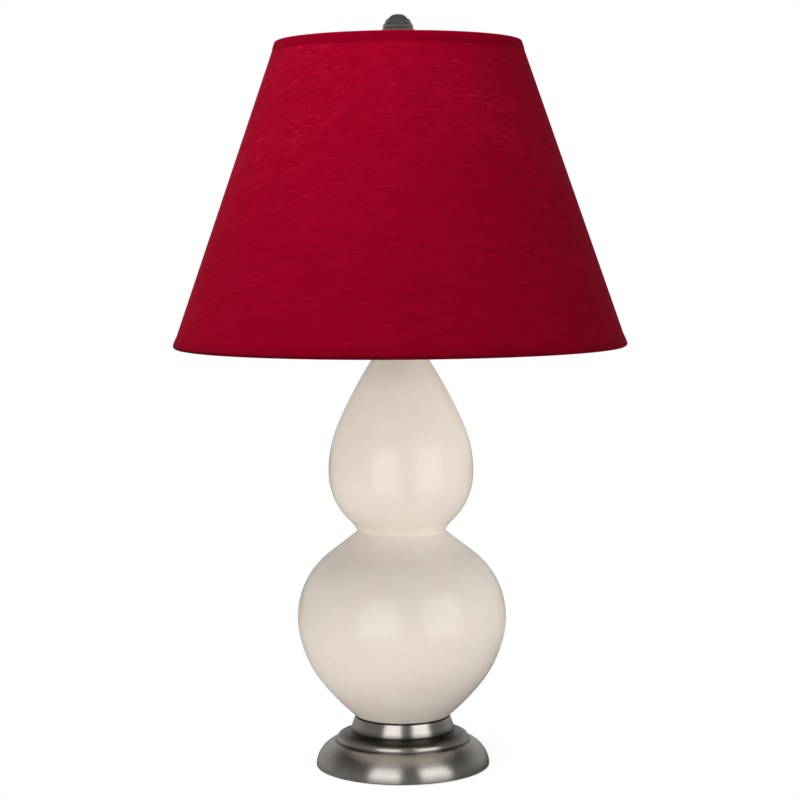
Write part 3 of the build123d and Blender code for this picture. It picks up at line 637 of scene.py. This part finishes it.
def make_gourd():
    """The glazed double gourd on its rubber ring: tangent arcs from the foot to the neck."""
    low, high, edge = foot("seat_gasket"), top("seat_gasket"), reach("seat_gasket")
    ring = [(20, low, 0), (edge, low, 0.3), (edge, high, 0.3), (20, high, 0)]
    turned("seat_ring", ring, gasket_rubber, "lamp_body", "rubber_gasket", ["seat_gasket"])

    body_foot, lip = foot("gourd_body"), top("gourd_body")
    foot_edge, foot_slope, wall, bore = 37.2, 40.8, 6.0, 7.0
    body = Outline(bore, body_foot).to(foot_edge, body_foot)
    # the lower bulb: ever tighter arcs, a straight shoulder and the crease of the waist
    body.bend(191.0, 10.7, foot_slope).bend(88.1, 28.7).bend(62.3, 62)
    body.to(34.2, 183.1).bend(0.8, -77).arc_to(39.5, 191.7)
    # the upper bulb: ever wider arcs, and the turn up into the neck
    body.bend(51.6, 46.8).bend(94.5, 23.6).bend(348.0, 9.7).bend(18.0, -33.9)
    neck_x = body.points[-1].x
    body.to(neck_x, lip).to(neck_x - wall, lip)
    # the hidden inside, about one wall in
    body.to(neck_x - wall, lip - 12).to(49.0, 230).to(28.2, 184).to(74.6, 117)
    body.to(33.0, body_foot + wall).to(bore, body_foot + wall)
    piece = lathe("glazed_gourd", body.points, glaze, segments=192)
    place(piece, "lamp_body", ["gourd_body"])


# ------------------------------------------------------------
# Neck, harp and socket
# ------------------------------------------------------------


def make_neck():
    """Cap, ring and tube stacked on the neck of the gourd."""
    lip = top("gourd_body")
    cap_top, cap_edge = top("vase_cap"), reach("vase_cap")
    cap = Outline(rod_hole, cap_top, spacing=0.4)
    cap.to(10, cap_top).arc_to(cap_edge - 0.2, lip - 1.9, 0).bend(0.25, -90).to(cap_edge - 1.4, lip - 2.2)
    cap.to(cap_edge - 2.4, lip).to(rod_hole, lip)
    place(lathe("neck_cap", cap.points, pewter), "lamp_body", ["vase_cap"])
    for name, node, rounding in (("neck_ring", "check_ring", 1.1), ("neck_sleeve", "neck_tube", 0.5)):
        low, high, edge = foot(node), top(node), reach(node)
        outline = [(rod_hole, low, 0), (edge, low, rounding), (edge, high, rounding), (rod_hole, high, 0)]
        turned(name, outline, pewter, "lamp_body", "pewter", [node])


leg_x = 25.45  # from the lamp's axis to the legs of the harp
sleeve_x = 26.75
harp_top = 547.0
harp_wire = 2.0  # the radius of the wire, and half the thickness of the pad
stud_seat = 551.2  # the top of the stud's disc, where the shade's washer lies


def make_harp():
    """The wire bow with its flat pad and swivel stud, and the two sleeves over its feet."""
    # half of the flat top, the radii of the bends above and below, and the legs' lean in degrees
    half_flat, shoulder, ankle, lean_in = 6, 52, 60, 20
    slope = radians(lean_in)
    half = Outline(0, harp_top, spacing=2.0).to(half_flat, harp_top).bend(shoulder, -90 - lean_in)
    inwards = half_flat + shoulder * cos(slope) - leg_x - ankle * (1 - cos(slope))
    run = half.points[-1] - Vector((sin(slope), cos(slope))) * inwards / sin(slope)
    half.to(run.x, run.y).bend(ankle, lean_in).to(leg_x, foot("harp_bow") + harp_wire)
    path = [Vector((-x, z)) for x, z in half.points[:0:-1]] + half.points
    place(wire("harp_wire", path, harp_wire, nickel), "harp", ["harp_bow"])
    low, high, edge = harp_top - harp_wire, harp_top + harp_wire, 6.5
    pad = [(2.6, low, 0.3), (edge, low, 0.6), (edge, high, 0.6), (2.6, high, 0.3)]
    turned("harp_pad", pad, nickel, "harp", "nickel", [], segments=64)

    low, tall = foot("harp_sleeve_right"), top("harp_sleeve_right") - foot("harp_sleeve_right")
    bore = 3.65
    sleeve = [(bore, 0, 0.2), (4.5, 0, 0.3), (4.3, 6, 0.3), (4.1, tall, 0.3), (bore, tall, 0.1)]
    for side, name in ((1, "right"), (-1, "left")):
        where = Matrix.Translation(Vector((side * sleeve_x, 0, low)) * MM)
        body, nodes = f"sleeve_{name}", [f"harp_sleeve_{name}"]
        turned(body, sleeve, nickel, body, "nickel", nodes, where, segments=48)

    # the stud: a riveted head under the pad, the shank through it, a disc above and the stud
    head_foot, head_top, disc_foot, stud_top = 542.8, 544.8, stud_seat - 2, top("swivel_stud")
    shank, disc_edge, stud_edge = 2.55, 9, 3.15
    stud = [
        (0, head_foot, 0), (3.4, head_foot, 0.9), (4, head_top, 0.3), (shank, head_top, 0),
        (shank, disc_foot, 0), (disc_edge, disc_foot, 0.5), (disc_edge, stud_seat, 0.5),
        (stud_edge, stud_seat, 0), (stud_edge, stud_top, 0.7), (0, stud_top, 0),
    ]
    turned("shade_stud", stud, brass, "stud", "nickel", ["swivel_stud"], segments=48)


thread_pitch = 3.6


def threaded(start, end, depth):
    """A wave that winds a rounded thread round a piece between two heights."""

    def wave(angle, radius, z):
        if not start < z < end:
            return radius
        return radius - depth * (0.5 - 0.5 * cos(2 * pi * z / thread_pitch - angle))

    return wave


def make_socket():
    """The lamp holder: cap, shell with its beads and knurl, screw shell and switch knob."""
    cap_foot, cap_top = foot("socket_cap"), top("socket_cap")
    hole, boss, edge, gauge = 4.9, 7.2, 18, 0.9
    cap = Outline(hole, cap_foot, spacing=0.4)
    cap.to(boss, cap_foot).to(boss, cap_foot + 4.4).arc_to(edge, cap_foot + 13, 12).to(edge, cap_top - 0.2)
    cap.bend(0.2, 90).to(edge - gauge, cap_top).to(edge - gauge, cap_foot + 13)
    cap.arc_to(boss, cap_foot + 5, -98).to(hole, cap_foot + 5)
    place(lathe("holder_cap", cap.points, nickel), "lamp_body", ["socket_cap"])

    shell_foot, shell_top = foot("socket_shell"), top("socket_shell")
    outside, inside, swell, bead_height = 16.9, 16.3, 0.55, 1.6
    knurl_low, knurl_high, rim_bead = 392.3, 404.0, 418.4
    outer = [Vector((outside, shell_foot)), Vector((outside, cap_top))]
    outer += bead_up(outside, cap_top, swell, bead_height)
    outer += fine_wall(outside, 374, knurl_low - 0.3, 1.5) + fine_wall(outside, knurl_low, knurl_high, 0.3)
    outer += fine_wall(outside, knurl_high + 0.3, rim_bead - 0.2, 1.0)
    outer += bead_up(outside, rim_bead, swell, bead_height)
    inner = [Vector((inside, shell_top)), Vector((inside, shell_foot))]

    def knurl(angle, radius, z):
        if radius < 16.5 or not knurl_low < z < knurl_high:
            return radius
        diamonds = cos(60 * angle + z * 2.6) * cos(60 * angle - z * 2.6)
        return radius + 0.12 * max(-0.6, diamonds)

    shell = lathe("holder_shell", outer + inner, nickel, segments=240, wave=knurl, crease=50)
    switch_height = 381.0
    cut_hole(shell, Vector((0, -16.5, switch_height)), Vector((0, -1, 0)), 4.2, 4.0)
    place(shell, "lamp_body", ["socket_shell"])

    barrel = fine_wall(13.9, 396.2, 418, 0.35)
    bore = [Vector((point.x - 0.5, point.y)) for point in barrel[::-1]]
    screw = [Vector((8.9, 396.0)), Vector((13.9, 396.0))] + barrel + bore + [Vector((8.9, 396.5))]
    thread = threaded(397, 417.5, 0.45)
    screw_shell = lathe("lamp_thread", screw, thread_metal, segments=72, wave=thread, crease=60)
    place(screw_shell, "lamp_body", ["screw_shell"])

    # the knob is turned about the switch's axis, with heights measured forwards from the lamp's axis
    knob = [
        (0, 24, 0), (2.4, 24, 0), (2.4, 20, 0.2), (5.6, 20, 0.6),
        (4.75, 33, 0.9), (1.6, 32.6, 0.8), (0, 32.4, 0),
    ]

    def flutes(angle, radius, _):
        if radius < 4.0:
            return radius
        return radius - 0.75 * max(0.0, cos(10 * angle)) ** 3

    outline = subdivided(rounded(knob), 1.5)
    knob_piece = lathe("turn_knob", outline, black_plastic, segments=160, wave=flutes, crease=50)
    switch_axis = Matrix.Translation(Vector((0, 0, switch_height)) * MM) @ Matrix.Rotation(pi / 2, 4, "X")
    place(knob_piece, "switch", ["switch_knob"], switch_axis)


def make_bulb():
    """The bulb: milky glass over a rolled screw cap."""
    seam, neck, ball_radius, ball_height = 423.0, 13.4, 30.0, 475.0
    arrival = 40.0  # the heading where the throat runs into the ball
    throat = Vector((0, ball_height)) + along(arrival - 90) * ball_radius
    glass = Outline(0, seam, spacing=0.8).to(neck, seam).to(neck, seam + 6)
    glass.curve_to(throat.x, throat.y, arrival, 22.0).bend(ball_radius, 180 - arrival)
    glass.points[-1] = Vector((0, ball_height + ball_radius))
    place(lathe("bulb_envelope", glass.points, bulb_white), "bulb", ["bulb_glass"])
    cap_top = seam - 0.1
    cap = [Vector((0, 401)), Vector((10.6, 401)), Vector((12.6, 403))]
    cap += fine_wall(13.05, 403.5, cap_top, 0.35) + [Vector((0, cap_top))]
    thread = threaded(404, 419, 0.6)
    cap_piece = lathe("bulb_screw_cap", cap, thread_metal, segments=72, wave=thread, crease=60)
    place(cap_piece, "bulb", ["bulb_cap"])


# ------------------------------------------------------------
# Shade
# ------------------------------------------------------------

rim_radius, rim_height = 174.2, 326.9
crown_radius, crown_height = 93.5, 558.3
lean = atan2(rim_radius - crown_radius, crown_height - rim_height)
down = Vector((sin(lean), -cos(lean)))
inward = Vector((-cos(lean), -sin(lean)))
rim_corner = Vector((rim_radius, rim_height))
crown_corner = Vector((crown_radius, crown_height))
apex = Vector((0, crown_height + crown_radius / tan(lean)))  # the tip of the cone

hem = 9.0  # how far a hem reaches over the cover
hem_gauge = 0.5
cloth_gauge = 0.6
lining_gauge = 0.5
fold_half = 2.35  # half the thickness of the fold at an edge
fold_reach = 2.0  # how deep the round of the fold is
ring_inset, ring_depth = 2.85, 2.1  # the hem's wire, in from the corner and into the shade
ring_wire = 1.2
wrap_radius = 1.5  # the inside of the cloth that goes round the wire
wrap_gauge = 0.45


def flat_cut(angle, radius, height):
    """A point's place on the flat cut of the cone, with the front of the shade in the middle."""
    distance = (Vector((radius, height)) - apex).length
    turn = (angle - pi) * sin(lean)
    return (distance * sin(turn), -distance * cos(turn))


def layer(inset, gauge, rows=24):
    """The section of one layer of the shade's wall, between the folds of the hems."""
    low = rim_corner - down * fold_reach + inward * inset
    high = crown_corner + down * fold_reach + inward * inset
    up = [low.lerp(high, row / rows) for row in range(rows + 1)]
    return up + [point + inward * gauge for point in up[::-1]]


def ring_centre(corner, into_shade):
    """The centre of the wire in a hem."""
    return corner + inward * ring_inset + into_shade * ring_depth


def hem_band(corner, into_shade):
    """The section of a hem: a band folded over the edge and back round its ring wire."""

    def at(inset, depth):
        return corner + inward * inset + into_shade * depth

    def sweep(centre, across, deep, turns):
        """Points round a centre, from a radius across the wall and one into the shade."""
        sides = [(across * cos(radians(turn)), deep * sin(radians(turn))) for turn in turns]
        return [centre + inward * inset + into_shade * depth for inset, depth in sides]

    ring, fold_centre = ring_centre(corner, into_shade), at(fold_half, fold_reach)
    turns = range(10, 180, 20)
    outer = [at(0.47, hem), at(0.40, hem - 0.4)]
    outer += [at(0, depth) for depth in (hem - 4.0, 4.0, 3.0, fold_reach)]
    fold = sweep(fold_centre, -fold_half, -fold_reach, turns)
    wrap = sweep(ring, wrap_radius + wrap_gauge, wrap_radius + wrap_gauge, range(10, 100, 20))
    back = sweep(ring, wrap_radius, wrap_radius, range(90, 0, -20))
    under = sweep(fold_centre, wrap_gauge - fold_half, hem_gauge - fold_reach, turns[::-1])
    inner = [at(hem_gauge, depth) for depth in (fold_reach, 5.0, hem)]
    return outer + fold + wrap + back + under + inner


def make_shade():
    """Cover, lining, hems and wires of the shade."""
    cover = lathe("shade_cover", layer(hem_gauge, cloth_gauge), cover_cloth, segments=192, flat=flat_cut)
    place(cover, "shade", ["shade_fabric"])
    lining_layer = layer(hem_gauge + cloth_gauge, lining_gauge)
    sheet_lining = lathe("shade_lining", lining_layer, lining, segments=192, flat=flat_cut)
    place(sheet_lining, "shade", ["shade_liner"])

    edges = (("bottom", rim_corner, -down), ("top", crown_corner, down))
    for name, corner, into_shade in edges:
        band = lathe(f"{name}_hem", hem_band(corner, into_shade), hem_cloth, segments=192, crease=70)
        place(band, "shade", [f"{name}_trim"])
    place(lap_strip("back_seam", 9.0), "shade")

    wires = (("rim_wire", "bottom_ring"), ("crown_wire", "spider"))
    for (name, node), (_, corner, into_shade) in zip(wires, edges):
        section = circle(*ring_centre(corner, into_shade), ring_wire)
        ring = lathe(name, section, shade_wire_finish, segments=192)
        place(ring, "shade", [node])
    make_spider()


def lap_strip(name, width):
    """The lap where the cover's two ends meet, a strip down the back between the hems."""
    rows, columns, lift, row_height = 24, 6, 0.35, 10.0
    low, high = rim_corner - down * (hem - 0.5), crown_corner + down * (hem - 0.5)
    vertices, spots = [], []
    for row in range(rows + 1):
        point = low.lerp(high, row / rows) + inward * hem_gauge
        for column in range(columns + 1):
            share = column / columns
            raised = point - inward * lift * min(1.0, 4 * share, 4 * (1 - share))
            angle = (share - 0.5) * width / raised.x
            vertices.append((-raised.x * sin(angle), raised.x * cos(angle), raised.y))
            spots.append((share * width, row * row_height))
    faces, uvs = [], []
    for row in range(rows):
        for column in range(columns):
            first = row * (columns + 1) + column
            quad = [first + columns + 1, first + columns + 2, first + 1, first]
            faces.append(quad)
            uvs += [spots[vertex] for vertex in quad]
    return finish_mesh(name, vertices, faces, uvs, hem_cloth, 60.0)


def make_spider():
    """Three arms from a washer on the stud's disc to the top ring."""
    hole, edge, high = 3.3, 11, stud_seat + 3
    hub = [(hole, stud_seat, 0.3), (edge, stud_seat, 0.6), (edge, high, 0.6), (hole, high, 0.3)]
    turned("spider_hub", hub, shade_wire_finish, "shade", "shade_wire", [], segments=64)
    start, end = Vector((8.0, stud_seat + 1.3)), ring_centre(crown_corner, down)
    arm_path = [start.lerp(end, step / 12) for step in range(13)]
    for number in range(3):
        arm = wire(f"spider_arm_{number + 1}", arm_path, 1.3, shade_wire_finish)
        place(arm, "shade", where=Matrix.Rotation(radians(90 + 120 * number), 4, "Z"))


def make_finial():
    """The beaded knob: rounded tiers under an elliptical dome, with cuts between them painted dark, as patina
    and painted shade.
    """
    widest, radius, cut_depth, swell = 563.0, 12.5, 0.45, 0.2

    def dome(height):
        return radius * sqrt(1 - ((height - widest) / (finial_top - widest)) ** 2)

    knob = Outline(0, finial_top, spacing=0.3).to(2.0, finial_top).arc_to(5.2, finial_top - 1.0, -3)
    knob.arc_to(dome(finial_cuts[0]) - cut_depth, finial_cuts[0])
    for cut in finial_cuts[1:]:
        before, end = knob.points[-1], Vector((dome(cut) - cut_depth, cut))
        chord = end - before
        bulge = dome(cut + finial_bead / 2) + swell - (before.x + end.x) / 2
        half_turn = 2 * degrees(atan2(bulge, chord.length / 2))
        knob.arc_to(end.x, end.y, heading_of(chord) + half_turn)
    low, bore, bore_top = foot("finial"), 3.2, 568
    knob.to(8, low + 1.6).to(8, low + 0.3).bend(0.3, -90).to(bore, low).to(bore, bore_top).to(0, bore_top)
    place(lathe("beaded_finial", knob.points, pewter_cast), "finial", ["finial"])


make_base()
make_gourd()
make_neck()
make_harp()
make_socket()
make_bulb()
make_shade()
make_finial()

kept_nodes = {
    "base_weight": cast_iron,
    "threaded_pipe": zinc,
    "lock_washer": zinc,
    "lock_nut": zinc,
    "harp_saddle": nickel,
    "cap_set_screw": zinc,
    "socket_liner": liner_card,
    "socket_core": phenolic,
    "terminal_screws": brass,
    "centre_contact": brass,
    "switch_stem": phenolic,
    "bulb_contact": vitrite,
}
for node, material in kept_nodes.items():
    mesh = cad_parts[node].data
    mesh.materials.clear()
    mesh.materials.append(material)

# ------------------------------------------------------------
# Studio
# ------------------------------------------------------------

FLOOR_LIFT = 0.66  # how far the floor near the lamp is lifted towards white
AMBIENT = 0.70  # what lights the surfaces from the front and the back
BESIDE = 1.6  # how much more comes from the sides


def studio_disc(name, radius, location, sides):
    """A flat disc that belongs to the studio."""
    bpy.ops.mesh.primitive_circle_add(vertices=sides, radius=radius, fill_type="NGON", location=location)
    disc = bpy.context.object
    disc.name = name
    return disc


def make_floor():
    """A pale floor that fades to plain white away from the lamp."""
    floor = studio_disc("floor", 6.0, (0, 0, 0), 96)
    material = bpy.data.materials.new("studio_floor")
    material.use_nodes = True
    material.node_tree.nodes.clear()
    nodes = Nodes(material.node_tree)
    spot = nodes.add("TexCoord", {}, "Object")
    away = nodes.add("VectorMath", {0: spot}, "Value", operation="LENGTH")
    grain = nodes.add("TexNoise", {"Vector": spot, "Scale": 60.0, "Detail": 3.0})
    matt = nodes.add("BsdfDiffuse", {"Color": nodes.mix(grain, (0.84, 0.84, 0.84), (0.88, 0.88, 0.88))})
    near = nodes.add("AddShader", {0: matt, 1: nodes.glow("Emission", FLOOR_LIFT)})
    seen = nodes.add("MixShader", {0: nodes.ramp(away, 0.08, 0.22), 1: near, 2: nodes.glow("Emission", 1.0)})
    # what the lamp gets back from the floor: some light, and less in its reflections
    rays = nodes.add("LightPath", {}).node
    bounce = nodes.add("BsdfDiffuse", {"Color": (0.40, 0.39, 0.37, 1)})
    dim = nodes.add("BsdfDiffuse", {"Color": (0.22, 0.22, 0.21, 1)})
    unseen = nodes.add("MixShader", {0: rays.outputs["Is Glossy Ray"], 1: bounce, 2: dim})
    shown = nodes.add("MixShader", {0: rays.outputs["Is Camera Ray"], 1: unseen, 2: seen})
    nodes.show("Material", shown)
    floor.data.materials.append(material)


def make_softbox(name, azimuth, distance, height, size, radiance, aim=None, mirrored=False):
    """A softbox at an azimuth off the camera's side, turned to a height on the lamp's axis.

    A mirrored one is what the metal and the glaze reflect; the others light the surfaces."""
    light = bpy.data.lights.new(name, "AREA")
    light.shape = "RECTANGLE"
    light.size, light.size_y = size
    light.energy = radiance * pi * light.size * light.size_y
    lamp = bpy.data.objects.new(name, light)
    turn = radians(azimuth)
    lamp.location = (distance * sin(turn), -distance * cos(turn), height)
    target = Vector((0, 0, height if aim is None else aim))
    lamp.rotation_euler = (target - lamp.location).to_track_quat("-Z", "Y").to_euler()
    lamp.visible_camera = False
    lamp.visible_glossy = mirrored
    lamp.visible_diffuse = not mirrored
    bpy.context.scene.collection.objects.link(lamp)


def make_flag():
    """A black flag between the key light and the open top of the shade, seen by shadow rays alone."""
    to_key = Vector((-0.389, -0.142, 0.910))
    shade_top = Vector((0, 0, 0.558))
    flag = studio_disc("flag", 0.078, shade_top + to_key * 0.13, 48)
    flag.data.materials.append(Finish("flag_black", Base_Color=(0, 0, 0, 1), Roughness=1.0).material)
    flag.visible_camera = flag.visible_diffuse = flag.visible_glossy = flag.visible_transmission = False


def make_world():
    """White behind the lamp for the camera; dimmer in front and overhead for what metal mirrors."""
    world = bpy.data.worlds.new("studio")
    world.use_nodes = True
    world.node_tree.nodes.clear()
    nodes = Nodes(world.node_tree)
    to_x, to_y, to_z = nodes.add("SeparateXYZ", {0: nodes.add("TexCoord", {}, "Generated")}).node.outputs
    mirrored = nodes.scaled(nodes.ramp(to_y, 0.1, 0.8), 0.22, 0.20)
    mirrored = nodes.calc("MULTIPLY", mirrored, nodes.ramp(to_z, 0.75, 0.30))
    overhead = nodes.calc("MULTIPLY", nodes.ramp(to_z, 0.6, 1.0), 0.16)
    mirrored = nodes.calc("ADD", nodes.calc("ADD", mirrored, overhead), 0.03)
    sides = nodes.ramp(nodes.calc("ABSOLUTE", to_x), 0.60, 1.0)
    horizon = nodes.ramp(to_z, 0.60, 0.0)
    ambient = nodes.calc("MULTIPLY", nodes.scaled(sides, BESIDE, AMBIENT), horizon)
    ambient = nodes.calc("ADD", ambient, 0.06)
    rays = nodes.add("LightPath", {}).node
    glossy = nodes.calc("MAXIMUM", rays.outputs["Is Glossy Ray"], rays.outputs["Is Transmission Ray"])
    lighting = nodes.glow("Background", ambient)
    reflection = nodes.glow("Background", mirrored, (1, 0.99, 0.97))
    unseen = nodes.add("MixShader", {0: glossy, 1: lighting, 2: reflection})
    white = nodes.glow("Background", 1.0)
    shown = nodes.add("MixShader", {0: rays.outputs["Is Camera Ray"], 1: unseen, 2: white})
    nodes.show("World", shown)
    bpy.context.scene.world = world


def make_camera():
    """The photograph's view: a long lens a little under the middle of the shade."""
    stand = (0, -1.6109, 0.4144)
    look_down, roll = radians(4.607), radians(-0.38)
    data = bpy.data.cameras.new("view")
    data.sensor_width = 36.0
    data.lens = 94.5
    data.shift_x = -0.0006
    camera = bpy.data.objects.new("view", data)
    tilt = Matrix.Rotation(pi / 2 - look_down, 4, "X") @ Matrix.Rotation(roll, 4, "Z")
    camera.matrix_world = Matrix.Translation(stand) @ tilt
    bpy.context.scene.collection.objects.link(camera)
    bpy.context.scene.camera = camera


make_floor()
make_softbox("softbox_left", -20.0, 1.6, 0.25, (1.2, 0.75), 3.5)
make_softbox("softbox_right", 40.0, 1.6, 0.25, (1.2, 0.75), 2.55)
make_softbox("edge_left", -98.0, 1.2, 0.40, (0.7, 0.9), 0.5)
make_softbox("edge_right", 98.0, 1.2, 0.40, (0.7, 0.9), 1.9)
make_softbox("shade_key", -70.0, 0.742, 2.19, (0.3, 0.3), 270.0, aim=0.44)
make_softbox("shade_top_light", 4.0, 0.27, 0.98, (0.15, 0.15), 38.0, aim=0.5)
make_softbox("card_left", -23.0, 0.353, 0.205, (0.25, 0.31), 2.2, mirrored=True)
make_softbox("card_right", 43.0, 0.352, 0.205, (0.26, 0.31), 2.2, mirrored=True)
make_flag()
make_world()
make_camera()
bpy.context.scene.view_settings.view_transform = "Standard"
